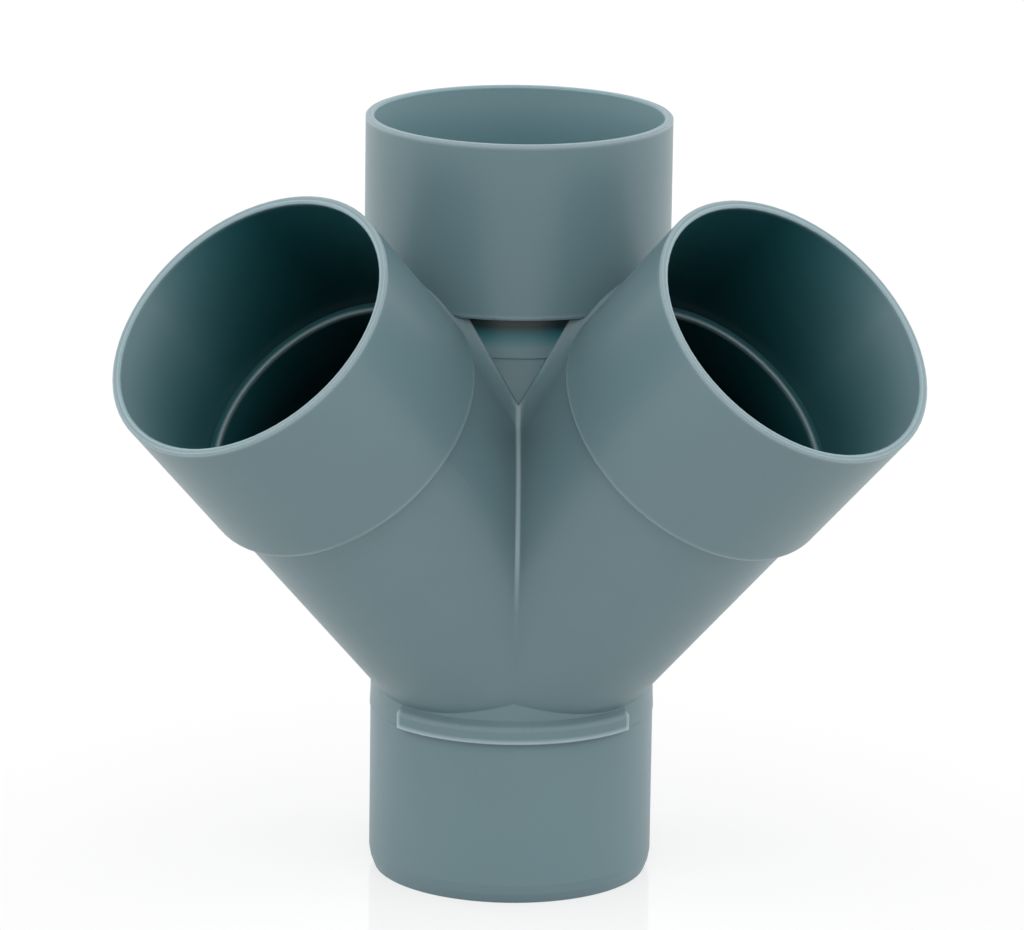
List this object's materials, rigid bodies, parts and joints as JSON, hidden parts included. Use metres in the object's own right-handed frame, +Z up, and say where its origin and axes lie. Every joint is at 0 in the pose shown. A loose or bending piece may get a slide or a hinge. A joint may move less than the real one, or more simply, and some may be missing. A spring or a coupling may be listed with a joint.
{
  "type": "double pipe junction",
  "caption": "Corner pipe branch in rigid plastic: angled sockets, square to each other in plan, rise in front of a straight run with a top socket and a plain spigot below, joining downpipes.",
  "frame": {"origin": "Centre of the spigot's end face, at the bottom of the straight run", "axes": "+Z up along the straight run to the top socket; the two branches rise to the front, on the -Y side, one towards +X and one towards -X; X = 0 is the mirror plane"},
  "size_m": [0.2206, 0.153, 0.217],
  "materials": {
    "junction_body": "satin"
  },
  "bodies": {
    "root": {"junction_body": "junction_body"}
  },
  "joints": []
}
